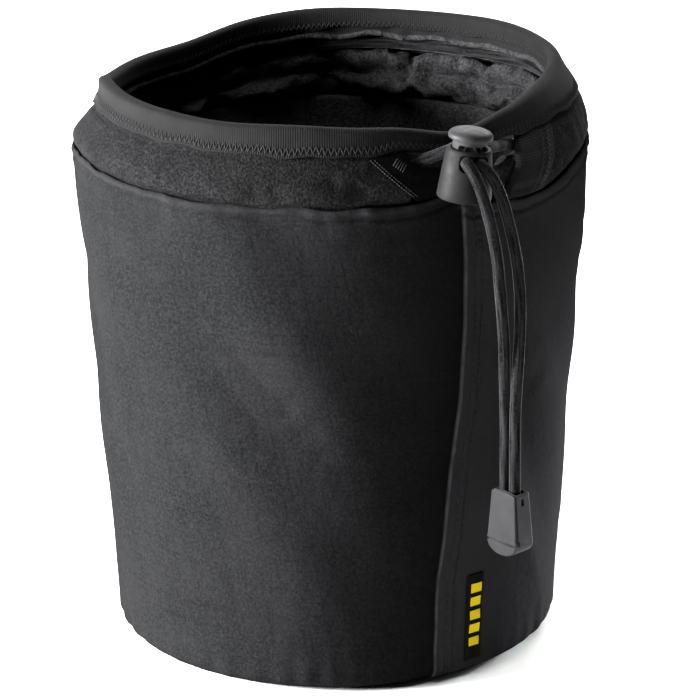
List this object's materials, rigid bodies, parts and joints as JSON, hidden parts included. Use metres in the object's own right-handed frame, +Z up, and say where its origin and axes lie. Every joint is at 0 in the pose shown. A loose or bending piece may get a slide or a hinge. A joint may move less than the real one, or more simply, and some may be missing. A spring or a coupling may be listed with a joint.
{
  "type": "slip-on lens cover",
  "caption": "Round padded fabric pouch that slips over a large lens, with a drawcord collar, a spring cord lock and a hinged cord end.",
  "frame": {"origin": "middle of the flat base, on the surface that the cover stands on", "axes": "+Z up towards the open mouth, -Y towards the cord lock and the seam"},
  "size_m": [0.18, 0.2077, 0.2073],
  "materials": {
    "shell_nylon": "coated ripstop nylon, satin",
    "foam": "closed-cell foam",
    "lining_fleece": "brushed fleece",
    "stiffener_board": "matte board",
    "band_fleece": "brushed knit, matte",
    "edge_tape": "grosgrain tape",
    "shock_cord": "braided elastic cord",
    "thread": "sewing thread",
    "label_weave": "damask weave",
    "lock_plastic": "moulded, satin",
    "cord_end_plastic": "moulded, satin",
    "spring_steel": "drawn wire"
  },
  "bodies": {
    "pouch": {"outer_shell": "shell_nylon", "shell_padding": "foam", "side_lining": "lining_fleece", "lining_roll": "lining_fleece", "base_panel": "shell_nylon", "base_stiffener": "stiffener_board", "base_padding": "foam", "base_lining": "lining_fleece", "collar_band": "band_fleece", "collar_facing": "edge_tape", "rim_binding": "edge_tape", "drawcord": "shock_cord", "link_left": "shock_cord", "link_right": "shock_cord", "channel_tape_left": "edge_tape", "channel_tape_right": "edge_tape", "bartack_left": "thread", "woven_label": "label_weave"},
    "cord_lock": {"lock_barrel": "lock_plastic", "lock_spring": "spring_steel"},
    "lock_plunger": {"lock_plunger": "lock_plastic"},
    "cord_tail": {"tail_strand_left": "shock_cord", "tail_strand_right": "shock_cord"},
    "cord_end": {"cord_end_body": "cord_end_plastic", "cord_tip_left": "shock_cord", "cord_tip_right": "shock_cord"},
    "cord_end_lid": {"cord_end_lid": "cord_end_plastic"}
  },
  "joints": [
    {"name": "lock_slide", "type": "slide", "parent": "pouch", "child": "cord_lock", "axis": [0.1931, -0.037, -0.9805], "range_m": [0, 0.07], "deforming": ["link_left", "link_right", "tail_strand_left", "tail_strand_right"]},
    {"name": "plunger_press", "type": "slide", "parent": "cord_lock", "child": "lock_plunger", "axis": [-0.1098, 0.0274, -0.9936], "range_m": [0, 0.0028], "stiffness_N_per_m": 1000, "springref_m": -0.002, "deforming": ["lock_spring"]},
    {"name": "tail_swing", "type": "hinge", "parent": "cord_lock", "child": "cord_tail", "pos_m": [-0.00394, -0.10906, 0.1964], "axis": [0.2419, 0.9703, 0], "range_deg": [-35, 35], "deforming": ["tail_strand_left", "tail_strand_right"]},
    {"name": "cord_feed", "type": "slide", "parent": "cord_tail", "child": "cord_end", "axis": [-0.1931, 0.037, 0.9805], "range_m": [0, 0.07], "deforming": ["tail_strand_left", "tail_strand_right"]},
    {"name": "lid_hinge", "type": "hinge", "parent": "cord_end", "child": "cord_end_lid", "pos_m": [0.00587, -0.11092, 0.0636], "axis": [0.2672, -0.9636, 0], "range_deg": [0, 90]}
  ],
  "couplings": [
    {"joint": "cord_feed", "follows": "lock_slide", "ratio": 1}
  ]
}
